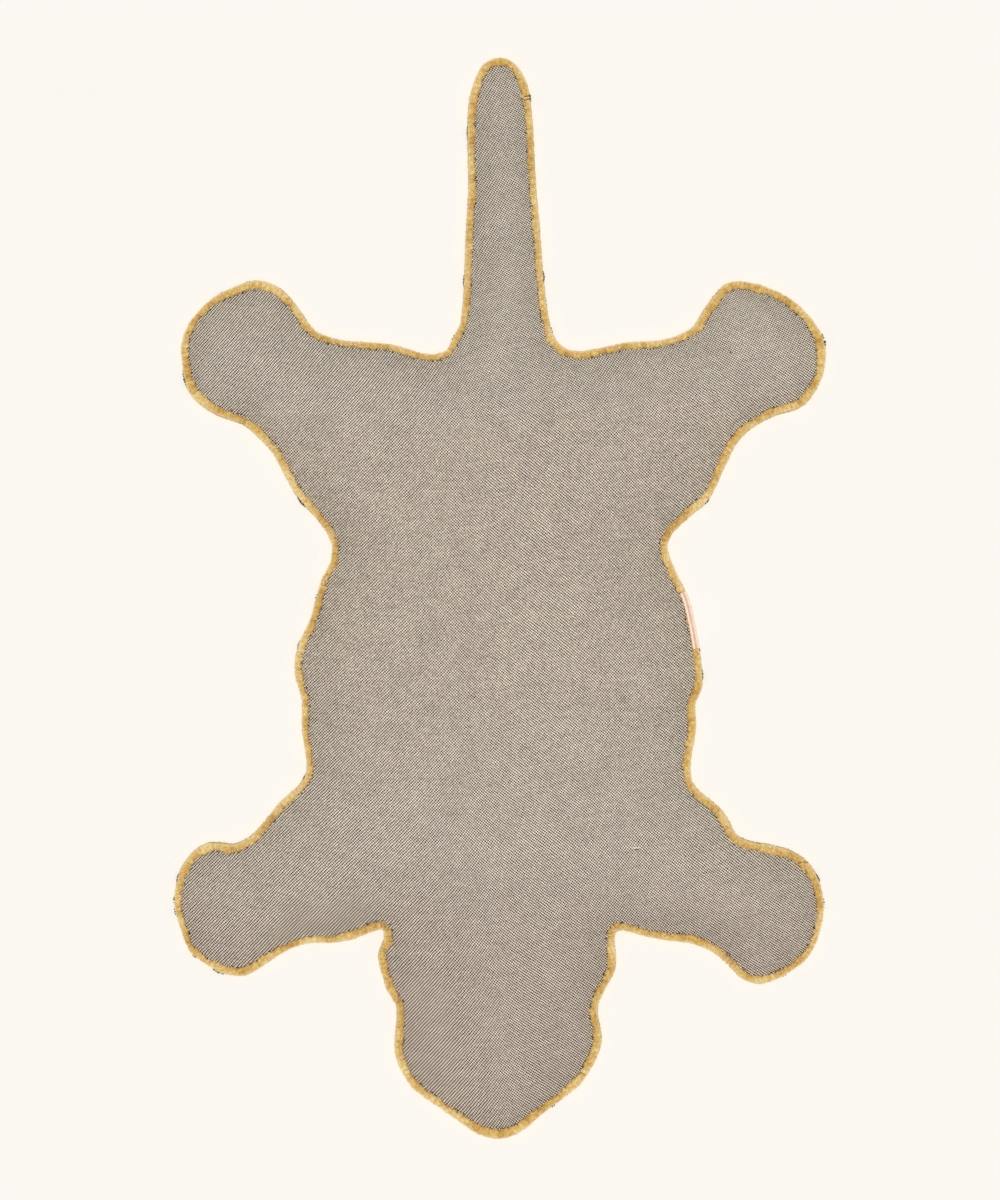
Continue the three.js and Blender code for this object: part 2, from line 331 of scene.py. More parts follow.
class Rim:
    """The rug's outer line. Its places are lengths s along it, counter-clockwise."""

    def __init__(self):
        cloth = even_loop(cap_outline("backing_cloth", CLOTH_LOW), RIM_STEP)
        self.points = even_loop(cloth - inward_of(cloth) * CLOTH_INSET, RIM_STEP)
        self.inward = inward_of(self.points)
        gaps = np.linalg.norm(np.roll(self.points, -1, axis=0) - self.points, axis=1)
        self.s = np.concatenate([[0], np.cumsum(gaps)[:-1]])
        self.length = gaps.sum()
        self.width = self.band_widths()

    def band_widths(self):
        """The yarn band's width at each point, from the whipping's lower inner line."""
        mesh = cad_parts["edge_whipping"].data
        level = CLOTH_TOP + PIECE_GAP
        inner = np.array([v.co[:2] for v in mesh.vertices if abs(v.co[2] - level) < LEVEL_ERROR])
        apart = np.array([np.linalg.norm(self.points - p, axis=1) for p in inner])
        gaps, near = apart.min(axis=1), apart.argmin(axis=1)
        edge = gaps > NARROWEST_BAND
        order = np.argsort(near[edge])
        return np.interp(
            self.s, self.s[near[edge][order]], gaps[edge][order], period=self.length
        )

    def at(self, s, inset=0.0):
        """The plan point at s, that far inside the rim."""
        return self.value(self.points, s) + self.into(s) * np.asarray(inset)[..., None]

    def into(self, s):
        inward = self.value(self.inward, s)
        return inward / np.linalg.norm(inward, axis=-1)[..., None]

    def value(self, table, s):
        """A table with a value at each point of the rim, read at s."""
        if table.ndim == 1:
            return np.interp(s, self.s, table, period=self.length)
        return np.stack([np.interp(s, self.s, c, period=self.length) for c in table.T], axis=-1)

    def depth(self, points):
        """The place along the rim nearest to each plan point, and its distance."""
        tree = plan_tree(self.points)
        found = [tree.find((x, y, 0)) for x, y in points]
        return np.array([self.s[i] for _, i, _ in found]), np.array([gap for _, _, gap in found])

    def nearest(self, x, y):
        return self.s[np.argmin(np.linalg.norm(self.points - (x, y), axis=1))]


rim = Rim()
random = np.random.default_rng(RANDOM_SEED)
noise.seed_set(RANDOM_SEED)


def smoothstep(low, high, value):
    t = np.clip((np.asarray(value, float) - low) / (high - low), 0, 1)
    return t * t * (3 - 2 * t)


def under_label(s):
    """1 where the label presses on the yarn, and 0 away from it."""
    x, y = rim.at(s).T
    middle = (LABEL_TOP_Y + LABEL_BOTTOM_Y) / 2
    reach = (LABEL_TOP_Y - LABEL_BOTTOM_Y) / 2
    pressed = 1 - smoothstep(reach, reach + LABEL_MARGIN, np.abs(y - middle))
    return np.where(x > 0, pressed, 0)


def ramp(value, softness):
    """How far each value lies above 0, with a soft bend there."""
    return softness * np.logaddexp(0, value / softness)


def thread_drift(x, y):
    """How far the warp lies to the right of straight, and the weft above it, in metres."""
    # The warp leans to the left above the hips, most of all at the right, and bows at the head.
    hips = 0.262 + 0.14 * np.maximum(x + 0.05, 0)
    hips_pull = 0.27 + 0.45 * (x - 0.12 * np.tanh(x / 0.12))
    head_bow = 0.125 * np.minimum(y, 0) ** 2
    lean = -0.02 * y - hips_pull * ramp(y - hips, 0.02) + head_bow
    # The weft bends up to the right of the spine, which drifts to the right at both its ends.
    spine = -0.062 + 0.2 * np.maximum(-0.33 - y, 0) + 0.03 * smoothstep(0.38, 0.48, y)
    spine_pull = 0.361 + 0.25 * np.maximum(-0.38 - y, 0)
    rise = -0.125 * x + spine_pull * ramp(x - spine, 0.026)
    # It was also pulled a little at four places.
    left_shoulder = 0.10 * np.minimum(x, 0) * np.minimum(y, 0)
    right_flank = -0.008 * np.tanh((x - 0.175) / 0.055)
    snout = 0.0025 * smoothstep(0.42, 0.56, -y) * np.tanh((x - 0.045) / 0.03)
    left_hind_leg = -0.06 * np.maximum(y - 0.23, 0) * smoothstep(0.02, 0.18, -x)
    return lean, rise + left_shoulder + right_flank + snout + left_hind_leg


def plan_noise(points, scale, level, kind=noise.noise):
    """Noise at plan points, with about `scale` swells in a metre. Each level has its own."""
    return np.array([kind(Vector((x * scale, y * scale, level))) for x, y in points])


def threads(points):
    """Which warp and weft thread each plan point lies on and how steeply the weft rises there,
    and how far the cloth was pulled aslant, from 0 to 1."""
    x, y = points.T
    lean, rise = thread_drift(x, y)
    steepness = (thread_drift(x + MM, y)[1] - rise) / MM
    sway = plan_noise(points, SWAYS_IN_METRE, 0.5, noise.noise_vector) * THREAD_SWAY
    warp = (x - lean + sway[:, 0]) / WARP_PITCH
    weft = (y - rise + sway[:, 1]) / WEFT_PITCH
    slant = np.abs(thread_drift(x, y + MM)[0] - lean) / MM
    return np.column_stack([warp, weft, steepness]), smoothstep(PULLED_FROM, PULLED_TO, slant)


# ---- meshes


def add_object(name, vertices, faces):
    """A shown piece on the rug's one body."""
    mesh = bpy.data.meshes.new(name)
    mesh.from_pydata(np.asarray(vertices, float).tolist(), [], faces)
    mesh.polygons.foreach_set("use_smooth", np.full(len(mesh.polygons), True))
    mesh.update()
    piece = bpy.data.objects.new(name, mesh)
    bpy.context.scene.collection.objects.link(piece)
    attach(piece, "root")
    return piece


def set_points(piece, name, values):
    """A number or a vector at each vertex, for the materials to read."""
    kind, field = ("FLOAT_VECTOR", "vector") if values.ndim == 2 else ("FLOAT", "value")
    layer = piece.data.attributes.new(name, kind, "POINT")
    layer.data.foreach_set(field, np.asarray(values, np.float32).ravel())


def inside(points, loop):
    """Which points lie inside a closed loop."""
    found = np.zeros(len(points), bool)
    x, y = points.T
    for (x0, y0), (x1, y1) in zip(loop, np.roll(loop, -1, axis=0)):
        crosses = (y0 > y) != (y1 > y)
        if y1 != y0:
            found ^= crosses & (x < x0 + (y - y0) * (x1 - x0) / (y1 - y0))
    return found


def sheet_plan(insets, step, grid):
    """A plan mesh of the rug: rings, each with an inset for every point of the rim, and an even
    grid inside them. Returns its points and its triangles, all facing up."""
    count = round(rim.length / step)
    s = np.arange(count) * rim.length / count
    rings = [rim.at(s, rim.value(inset, s)) for inset in insets]
    outline = rings[-1][:: max(1, round(4 * MM / step))]
    low, high = outline.min(0), outline.max(0)
    rows = np.arange(low[1], high[1], grid * math.sqrt(3) / 2)
    columns = np.arange(low[0], high[0], grid)
    cells = np.array([(x + (j % 2) * grid / 2, y) for j, y in enumerate(rows) for x in columns])
    cells = cells[inside(cells, outline)]
    gaps = np.min([np.linalg.norm(cells - p, axis=1) for p in outline], axis=0)
    cells = cells[gaps > grid * 0.6]
    points = np.vstack(rings + [cells])
    border = [(i, (i + 1) % count) for i in range(count)]
    made = geometry.delaunay_2d_cdt([Vector(p) for p in points], border, [], 1, 1e-7)
    kept = np.array([v[:] for v in made[0]])
    return kept, upward(made[2], kept)


def upward(triangles, points):
    """The same triangles, all facing up."""
    turned = []
    for a, b, c in triangles:
        (ax, ay), (bx, by), (cx, cy) = points[a], points[b], points[c]
        up = (bx - ax) * (cy - ay) - (by - ay) * (cx - ax) > 0
        turned.append((a, b, c) if up else (a, c, b))
    return turned


def border_edges(faces):
    """The directed edges that only one of the faces has."""
    directed = {(f[k], f[(k + 1) % len(f)]) for f in faces for k in range(len(f))}
    return [(a, b) for a, b in directed if (b, a) not in directed]


def shell(faces, count):
    """The faces of a closed shell: these, their like on the vertices count further on, turned
    over, and the walls between the two."""
    turned = [tuple(v + count for v in reversed(face)) for face in faces]
    return [*faces, *turned, *((b, a, a + count, b + count) for a, b in border_edges(faces))]


def tubes(paths, sideways, half_width, half_thickness, sides):
    """Closed flattened tubes along paths (tube, step, xyz), wide along `sideways` (tube, xyz).
    Returns vertices, faces and, for each vertex, its tube, its share along it and its angle."""
    count, steps, _ = paths.shape
    along = np.gradient(paths, axis=1)
    along /= np.linalg.norm(along, axis=2)[:, :, None]
    wide = sideways[:, None, :] - along * np.sum(along * sideways[:, None, :], axis=2)[..., None]
    wide /= np.linalg.norm(wide, axis=2)[:, :, None]
    thick = np.cross(along, wide)
    angle = np.arange(sides) * 2 * math.pi / sides
    offset = (
        wide[:, :, None, :] * (half_width[:, :, None] * np.cos(angle))[..., None]
        + thick[:, :, None, :] * (half_thickness[:, :, None] * np.sin(angle))[..., None]
    )
    vertices = (paths[:, :, None, :] + offset).reshape(-1, 3)
    faces = []
    for i in range(count):
        base = i * steps * sides
        for k in range(steps - 1):
            low = base + k * sides
            for m in range(sides):
                n = (m + 1) % sides
                faces.append((low + m, low + n, low + sides + n, low + sides + m))
        faces.append(tuple(base + m for m in reversed(range(sides))))
        faces.append(tuple(base + (steps - 1) * sides + m for m in range(sides)))
    tube = np.repeat(np.arange(count), steps * sides)
    share = np.tile(np.repeat(np.linspace(0, 1, steps), sides), count)
    return vertices, faces, tube, share, np.tile(angle, count * steps)


def yarn_tubes(name, wool, shade, tube_shape, twist=1.0):
    """A piece of wool tubes, each with its own shade between the wool's tones."""
    vertices, faces, tube, share, angle = tubes(*tube_shape)
    piece = add_object(name, vertices, faces)
    set_points(piece, "tone", shade[tube])
    set_points(piece, "ply", np.column_stack([np.cos(angle), np.sin(angle), share * twist]))
    piece.data.materials.append(wool)
    return piece


# ---- materials


class Finish:
    """A fabric material and short ways to add and join its nodes."""

    def __init__(self, name, roughness, specular, sheen=0.0):
        self.material = bpy.data.materials.new(name)
        self.material.use_nodes = True
        self.tree = self.material.node_tree
        self.surface = self.tree.nodes["Principled BSDF"]
        self.put(self.surface, "Roughness", roughness)
        self.put(self.surface, "Specular IOR Level", specular)
        self.put(self.surface, "Sheen Weight", sheen)
        self.put(self.surface, "Sheen Roughness", 0.6)

    def node(self, kind, settings=(), **inputs):
        made = self.tree.nodes.new("ShaderNode" + kind)
        for key, value in dict(settings).items():
            setattr(made, key, value)
        for key, value in inputs.items():
            self.put(made, key.replace("_", " "), value)
        return made

    def put(self, node, key, value):
        socket = node.inputs[int(key)] if key.isdigit() else node.inputs[key]
        if isinstance(value, bpy.types.NodeSocket):
            self.tree.links.new(value, socket)
        else:
            socket.default_value = value

    def math(self, operation, *values):
        made = self.node("Math", {"operation": operation})
        for i, value in enumerate(values):
            self.put(made, str(i), value)
        return made.outputs[0]

    def add(self, a, b):
        return self.math("ADD", a, b)

    def times(self, a, b):
        return self.math("MULTIPLY", a, b)

    def spread(self, value, low, high, to_low=0.0, to_high=1.0):
        """A value mapped smoothly from one range to another, and held at its ends."""
        made = self.node("MapRange", {"interpolation_type": "SMOOTHSTEP"}, Value=value)
        ends = {"From Min": low, "From Max": high, "To Min": to_low, "To Max": to_high}
        for key, number in ends.items():
            made.inputs[key].default_value = number
        return made.outputs["Result"]

    def place(self):
        """The place on the rug, in metres."""
        return self.node("TexCoord").outputs["Object"]

    def point(self, x, y):
        return self.node("CombineXYZ", X=x, Y=y).outputs[0]

    def noise(self, vector, scale, detail=2.0, roughness=0.5):
        made = self.node("TexNoise", Vector=vector, Scale=scale, Detail=detail, Roughness=roughness)
        return made.outputs["Fac"]

    def number(self, name):
        return self.node("Attribute", {"attribute_name": name}).outputs["Fac"]

    def vector(self, name):
        return self.node("Attribute", {"attribute_name": name}).outputs["Vector"]

    def parts(self, name):
        """The three numbers of a vector attribute."""
        return self.node("SeparateXYZ", Vector=self.vector(name)).outputs

    def mix(self, factor, a, b, blend="MIX"):
        made = self.node("Mix", {"data_type": "RGBA", "blend_type": blend}, Factor=factor)
        self.put(made, "6", a)
        self.put(made, "7", b)
        return made.outputs[2]

    def tint(self, colour, by):
        """A colour times another colour."""
        return self.mix(1.0, colour, by, "MULTIPLY")

    def shade(self, colour, amount):
        """A colour times a number."""
        grey = self.node("CombineColor", Red=amount, Green=amount, Blue=amount).outputs[0]
        return self.tint(colour, grey)

    def stitch_holes(self, past, stitch, where):
        """1 in the small holes where the yarn goes into the cloth, uneven in place and size: the mask
        of the painted shade in them.
        """
        shift = self.times(self.add(self.noise(where, 90.0), -0.5), HOLE_SHIFT)
        turn = self.math("FRACT", self.add(self.times(stitch, HOLES_TO_STITCH), shift))
        aside = self.times(self.add(turn, -0.5), STITCH / HOLES_TO_STITCH)
        outward = self.add(past, self.times(self.add(self.noise(where, 130.0), -0.75), HOLE_SPREAD))
        size = self.spread(self.noise(where, 170.0), 0.38, 0.62, SMALLEST_HOLE, LARGEST_HOLE)
        place = self.point(aside, outward)
        gap = self.node("VectorMath", {"operation": "LENGTH"}, **{"0": place}).outputs["Value"]
        return self.spread(self.math("DIVIDE", gap, size), 0.6, 1.2, 1.0, 0.0)

    def finish(self, colour, height=None, depth=0.0):
        self.tree.links.new(colour, self.surface.inputs["Base Color"])
        if height is not None:
            bump = self.node("Bump", Height=height, Distance=depth)
            bump.inputs["Strength"].default_value = 1.0
            self.tree.links.new(bump.outputs[0], self.surface.inputs["Normal"])
        return self.material


def tone(red, green, blue):
    """A colour as it looks in the photograph, from 0 to 255, as scene light."""
    return (*(((c / 255 + 0.055) / 1.055) ** 2.4 for c in (red, green, blue)), 1.0)


# The painted shade in the stitch holes, and the backing's tones and tints.
HOLE_SHIFT = 2.4
HOLE_SPREAD = 4 * MM
SMALLEST_HOLE, LARGEST_HOLE = 0.2 * MM, 1.5 * MM
HOLE_SHADE = tone(50, 36, 22)
LIGHT_THREAD_LOW = tone(222, 209, 194)
LIGHT_THREAD_HIGH = tone(251, 240, 225)
DARK_THREAD_LOW = tone(46, 31, 13)
DARK_THREAD_HIGH = tone(128, 106, 79)
PULLED_LIGHT = tone(255, 249, 237)
PULLED_DARK = tone(8, 5, 2)
THREAD_WOBBLE = 0.85
RIBS_BY_STEEPNESS = 0.27
PINKISH = (1.0, 0.992, 0.990, 1)
GREENISH = (0.995, 0.998, 0.986, 1)
SMUDGE_PLACE = (0.170, -0.140, CLOTH_TOP)
SMUDGE_TINT = (0.70, 0.75, 0.76, 1)
BROWN_BY_YARN = (1.34, 1.20, 1.00, 1)
BLOTCHES = (0.25, 0.75, 0.945, 1.055)
CLOTH_RELIEF = 0.35 * MM


def woven_cloth():
    """Plain weave of ecru and grey-brown threads, light where one passes over the other."""
    f = Finish("woven_backing", roughness=0.92, sheen=0.1, specular=0.15)
    where = f.place()
    warp, weft, steepness = f.parts("threads")
    # The threads wander a little from their lines.
    wobble = f.node("TexNoise", Vector=where, Scale=150.0, Detail=3.0).outputs["Color"]
    wobble = f.node("SeparateColor", Color=wobble).outputs
    warp = f.add(warp, f.times(f.add(wobble[0], -0.5), THREAD_WOBBLE))
    weft = f.add(weft, f.times(f.add(wobble[1], -0.5), THREAD_WOBBLE))
    # Where the weft is steep, the crossings line up in ribs along one diagonal.
    one_way = f.math("COSINE", f.times(f.math("SUBTRACT", warp, weft), math.pi))
    other_way = f.math("COSINE", f.times(f.add(warp, weft), math.pi))
    ribs = f.times(steepness, RIBS_BY_STEEPNESS)
    check = f.math(
        "SUBTRACT",
        f.times(one_way, f.math("SUBTRACT", 0.5, ribs)),
        f.times(other_way, f.add(0.5, ribs)),
    )
    over = f.spread(check, -0.22, 0.22)
    # Every crossing and every thread has its own shade, and threads have thick and thin places.
    crossing = f.point(f.math("FLOOR", warp), f.math("FLOOR", weft))
    own = f.node("TexWhiteNoise", {"noise_dimensions": "2D"}, Vector=crossing).outputs[0]
    warp_streak = f.noise(f.point(warp, f.times(weft, 0.15)), 0.9)
    weft_streak = f.noise(f.point(f.times(warp, 0.15), weft), 0.9)
    streak = f.add(f.times(warp_streak, 0.45), f.times(weft_streak, 1.55))
    own = f.spread(f.add(f.times(own, 1.3), f.times(streak, 0.7)), 0.55, 2.15)
    light = f.mix(own, LIGHT_THREAD_LOW, LIGHT_THREAD_HIGH)
    dark = f.mix(own, DARK_THREAD_LOW, DARK_THREAD_HIGH)
    # The threads stand out more where the cloth was pulled aslant.
    pulled = f.number("pulled")
    light = f.mix(f.times(pulled, 0.2), light, PULLED_LIGHT)
    dark = f.mix(f.times(pulled, 0.25), dark, PULLED_DARK)
    colour = f.mix(over, dark, light)
    # Painted shade in the gaps between the threads, where they round down.
    swell = f.math("SQRT", f.math("ABSOLUTE", check))
    colour = f.shade(colour, f.spread(swell, 0.0, 0.6, 0.85, 1.0))
    # Soft blotches, faintly green or pink, and one grey smudge.
    hue = f.spread(f.noise(where, 34.0), 0.35, 0.65)
    colour = f.tint(colour, f.mix(hue, PINKISH, GREENISH))
    gap = f.node("VectorMath", {"operation": "DISTANCE"}, **{"0": where, "1": SMUDGE_PLACE})
    smudge = f.spread(gap.outputs["Value"], 1 * MM, 10 * MM, 1.0, 0.0)
    colour = f.mix(smudge, colour, f.tint(colour, SMUDGE_TINT))
    colour = f.shade(colour, f.spread(f.noise(where, 30.0, 3.0, 0.6), *BLOTCHES))
    # Long faint streaks where a weft thread is thicker.
    slub = f.noise(f.point(f.times(warp, 0.03), f.times(weft, 0.45)), 1.0)
    colour = f.shade(colour, f.spread(slub, *BLOTCHES))
    # Painted shade darkens it towards the edge and in the stitch pits, and it is brown against the
    # yarn.
    colour = f.tint(colour, f.vector("shade"))
    past = f.number("past_yarn")
    near = f.spread(past, -1 * MM, 4 * MM, 0.8, 0.0)
    colour = f.mix(near, colour, f.tint(colour, BROWN_BY_YARN))
    hole_shade = f.stitch_holes(past, f.number("stitch"), where)
    # Painted shade in the stitch holes.
    colour = f.mix(f.times(hole_shade, 0.95), colour, HOLE_SHADE)
    height = f.add(swell, f.times(f.noise(where, 1800.0), 0.35))
    return f.finish(colour, height, CLOTH_RELIEF)


PLY_TWIST = 22.0
WOOL_SHEEN = (1.0, 0.86, 0.55, 1)
TOWARDS_ORANGE = (1.03, 0.94, 0.95, 1)
TOWARDS_OLIVE = (0.97, 1.035, 0.87, 1)
RIM_LIGHT = tone(255, 240, 190)


def wool_yarn(name, wool, painted_rim_light=0.0, relief=0.35 * MM):
    """Fuzzy plied wool. Each turn has its own tone, from low to high."""
    low, middle, high = (tone(*colour) for colour in WOOLS[wool])
    f = Finish(name, roughness=0.9, sheen=1.0, specular=0.12)
    f.surface.inputs["Sheen Roughness"].default_value = 0.45
    f.surface.inputs["Sheen Tint"].default_value = WOOL_SHEEN
    shade = f.number("tone")
    cosine, sine, share = f.parts("ply")
    where = f.place()
    # Two plies, twisted round each other.
    turn = f.add(f.math("ARCTAN2", sine, cosine), f.times(share, PLY_TWIST))
    plies = f.math("ABSOLUTE", f.math("SINE", f.add(turn, f.times(f.noise(where, 200.0), 2.0))))
    mottle = f.add(f.noise(where, 240.0, 4.0, 0.7), -0.5)
    blend = f.add(shade, f.times(mottle, 2.5))
    colour = f.mix(f.spread(blend, 0.0, 0.5), low, middle)
    colour = f.mix(f.spread(blend, 0.5, 1.0), colour, high)
    # Some lengths of the yarn lean to orange and some to olive.
    hue = f.spread(f.noise(where, 150.0, 3.0), 0.35, 0.65)
    colour = f.tint(colour, f.mix(hue, TOWARDS_ORANGE, TOWARDS_OLIVE))
    fibre = f.noise(where, 1300.0, 3.0, 0.7)
    colour = f.shade(colour, f.spread(fibre, 0.25, 0.75, 0.88, 1.1))
    # Painted shade in the grooves between the plies.
    colour = f.shade(colour, f.spread(plies, 0.0, 0.55, 0.84, 1.0))
    # Painted shade darkens it where it goes into the cloth, and a painted rim light makes it paler
    # where it turns over the rim.
    colour = f.shade(colour, f.spread(share, 0.08, 0.42, 0.9, 1.0))
    rim_light = f.times(f.spread(share, 0.40, 0.66), f.spread(blend, -0.2, 0.9, 0.5 * painted_rim_light, painted_rim_light))
    colour = f.mix(rim_light, colour, RIM_LIGHT)
    height = f.add(f.times(plies, 1.2), fibre)
    return f.finish(colour, height, relief)


PILE_LOW, PILE_HIGH, PILE_DARK = tone(206, 160, 84), tone(229, 188, 112), tone(58, 42, 30)


def tufted_wool():
    """The pile's underside and sides: cut tufts of mustard wool, dark where specks peep out."""
    f = Finish("tufted_wool", roughness=0.95, sheen=0.3, specular=0.1)
    where = f.place()
    shade = f.number("tone")
    cell = f.node("TexVoronoi", {"feature": "F1"}, Vector=where, Scale=290.0)
    own = f.node("SeparateColor", Color=cell.outputs["Color"]).outputs[0]
    gap = f.spread(cell.outputs["Distance"], 0.25, 0.75, 1.0, 0.5)
    colour = f.mix(own, PILE_LOW, PILE_HIGH)
    patch = f.add(shade, f.times(f.add(f.noise(where, 60.0, 3.0), -0.5), 0.5))
    colour = f.mix(f.spread(patch, 0.42, 0.58), colour, PILE_DARK)
    fibre = f.noise(where, 1500.0)
    # Painted shade in the gaps between the tufts.
    colour = f.shade(colour, f.times(gap, f.spread(fibre, 0.3, 0.7, 0.88, 1.08)))
    height = f.add(gap, f.times(fibre, 0.3))
    return f.finish(colour, height, 1.2 * MM)


def woven_label():
    """A bare ribbon, pale pinkish white, with fine ribs across it."""
    f = Finish("label_ribbon", roughness=0.6, sheen=0.1, specular=0.3)
    along, across, _ = f.parts("ribbon")
    where = f.place()
    rib = f.math("SINE", f.times(along, 2 * math.pi / LABEL_RIB))
    thread = f.math("SINE", f.times(across, 2 * math.pi / LABEL_THREAD))
    weave = f.times(rib, thread)
    mottle = f.spread(f.noise(where, 180.0, 3.0), 0.3, 0.7)
    colour = f.mix(mottle, tone(255, 224, 199), tone(255, 241, 218))
    # Pinker along the soft crease in its middle: the pink of the lettering's dots, blurred, and painted
    # shade in the crease.
    aside = f.math("ABSOLUTE", f.add(across, -LABEL_CREASE))
    crease = f.spread(aside, 0.4 * MM, 2.0 * MM, 1.0, 0.0)
    crease = f.times(crease, f.spread(f.noise(where, 420.0), 0.3, 0.7, 0.5, 0.9))
    colour = f.mix(crease, colour, tone(218, 148, 124))
    # Painted shade in the dips of the ribs.
    colour = f.shade(colour, f.spread(weave, -1.0, 1.0, 0.94, 1.0))
    height = f.add(weave, f.noise(where, 1500.0))
    return f.finish(colour, height, 0.03 * MM)


def plain_floor():
    f = Finish("plain_floor", roughness=0.8, specular=0.0)
    grain = f.spread(f.noise(f.place(), 3.0), 0.3, 0.7, 0.998, 1.0)
    return f.finish(f.shade(FLOOR_COLOUR, grain))


# ---- pieces


def backing_cloth(stitches):
    """The cloth, closed and 2 mm thick, pulled down where the yarn of each stitch goes in."""
    rings = [np.full(len(rim.s), CLOTH_INSET + 0.1 * MM)]
    rings += [rim.width + past * MM for past in CLOTH_RINGS_PAST_YARN]
    points, triangles = sheet_plan(rings, 2 * MM, 9 * MM)
    s, depth = rim.depth(points)
    past = depth - rim.value(rim.width, s)
    pit = np.zeros(len(points))
    tree = plan_tree(points)
    pit_inset = rim.value(rim.width, stitches["s"]) + stitches["pit"]
    places = rim.at(stitches["s"] + STITCH / 2, pit_inset)
    for (x, y), size in zip(places, stitches["pit_size"]):
        for _, i, gap in tree.find_range((x, y, 0), STITCH_DENT_REACH):
            pit[i] = max(pit[i], size * (1 - gap / STITCH_DENT_REACH))
    swell = plan_noise(points, SWELLS_IN_METRE, 0.3) * SWELL
    dip = np.exp(-np.clip(past, 0, 1) / YARN_DIP_REACH) * YARN_DIP + pit * STITCH_DENT
    top = CLOTH_TOP - CLOTH_CLEARANCE + swell * smoothstep(0, SWELL_FROM_YARN, past) - dip
    levels = (top, np.full(len(points), CLOTH_LOW))
    vertices = np.vstack([np.column_stack([points, level]) for level in levels])
    cloth = add_object("cloth", vertices, shell(triangles, len(points)))
    # Painted shade, darker towards the edge.
    towards_edge = EDGE_DARKER * np.exp(-np.clip(past, 0, 1) / EDGE_DARKER_REACH)
    towards_head = smoothstep(HEAD_DARKER_FROM, HEAD_DARKER_TO, -points[:, 1])
    shade = 1 - towards_edge[:, None] * EDGE_DARKER_TONES
    shade *= 1 - towards_head[:, None] * HEAD_DARKER_TONES
    lines, pulled = threads(points)
    stitch = s * len(stitches["s"]) / rim.length
    fields = {"threads": lines, "pulled": pulled, "past_yarn": past, "stitch": stitch, "shade": shade}
    for name, values in fields.items():
        set_points(cloth, name, np.concatenate([values, values]))
    cloth.data.materials.append(woven_cloth())
    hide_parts("backing_cloth")
    return cloth


def sew_stitches():
    """The whipping's stitches: their places, and what is uneven from one to the next."""
    count = round(rim.length / STITCH)
    s = (np.arange(count) + random.normal(0, 0.03, count)) * rim.length / count
    patch = plan_noise(rim.at(s), 26, 5.0, lambda place: noise.fractal(place, 1, 2, 3))
    wander = plan_noise(rim.at(s), 60, 8.0)
    return {
        "s": s,
        "reach": random.normal(-0.35 * MM, 0.75 * MM, count),
        "tone": 0.5 + patch * 0.45 + random.normal(0, 0.05, count),
        "sink": random.normal(0, 0.12 * MM, count) + wander * 1.5 * MM,
        "pit": random.normal(0.2 * MM, 0.4 * MM, count),
        "pit_size": random.uniform(0.5, 1.6, count),
    }


def yarn_sections(width, sink):
    """The yarn's way over the edge, for bands of these widths: (band, step, inset and height)."""
    share, more, height, _ = np.array(YARN_WAY).T
    width = np.asarray(width, float)
    inset = width[:, None] * share + more * MM
    sections = np.stack([inset, np.broadcast_to(height, inset.shape)], axis=2)
    middle = np.stack([width * 0.5, np.full(len(width), YARN_MIDDLE)], axis=1)
    toward = middle[:, None, :] - sections
    toward /= np.linalg.norm(toward, axis=2)[..., None]
    return sections + toward * np.asarray(sink, float)[:, None, None]


def in_space(s, sections):
    """Sections (band, step, inset and height) at places along the rim, as points in space."""
    s = np.asarray(s)
    s = s if s.ndim == 2 else np.repeat(s[:, None], sections.shape[1], axis=1)
    plan = rim.at(s, sections[:, :, 0])
    return np.concatenate([plan, sections[:, :, 1:]], axis=2)


def edge_yarn(stitches):
    """The separate turns of yarn, drawn tight under the label and parted in a few places."""
    stitch = np.repeat(np.arange(len(stitches["s"])), TURNS)
    count = len(stitch)
    middle = stitches["s"][stitch]
    side = np.tile(np.arange(TURNS) - (TURNS - 1) / 2, len(stitches["s"])) * STITCH / TURNS
    s = middle + side + random.normal(0, 0.15 * MM, count)
    width = rim.value(rim.width, s) + stitches["reach"][stitch] + random.normal(0, 0.7 * MM, count)
    sink = under_label(s) * LABEL_SINK + stitches["sink"][stitch]
    sink += random.normal(0, 0.22 * MM, count)
    own = stitches["tone"][stitch] + random.normal(0, 0.05, count)
    for x, y in YARN_PARTINGS:
        parted = np.argmin(np.abs(s - rim.nearest(x, y)))
        sink[parted] += PARTED_SINK
        # The parted turn's darkest tone is painted shade in the gap.
        own[parted] = PARTED_SHADE
    sections = yarn_sections(width, sink)
    lean = TURN_LEAN + random.normal(0, 0.5 * MM, count)
    share = np.linspace(0, 1, sections.shape[1])
    together = TURNS_TOGETHER * (1 - smoothstep(0.0, 0.3, share))
    run = s[:, None] - (s - middle)[:, None] * together + lean[:, None] * (share - 0.5)
    paths = in_space(run, sections)
    into = rim.into(s)
    sideways = np.column_stack([into[:, 1], -into[:, 0], np.zeros(count)])
    taper = np.array(YARN_WAY)[:, 3]
    half_width = TURN_HALF_WIDTH * (1 + random.normal(0, 0.08, count))[:, None] * taper
    half_thickness = TURN_HALF_THICKNESS * np.ones((count, 1)) * taper
    wool = wool_yarn("edge_wool", "edge", painted_rim_light=0.65)
    halves = []
    # Two pieces, each with the turns of one half of the rim.
    for number, turns in enumerate((slice(0, count // 2), slice(count // 2, count)), 1):
        shape = (paths[turns], sideways[turns], half_width[turns], half_thickness[turns], TURN_SIDES)
        half = yarn_tubes(f"edge_yarn_{number}", wool, own[turns], shape)
        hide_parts("edge_whipping")
        halves.append(half)
    return halves


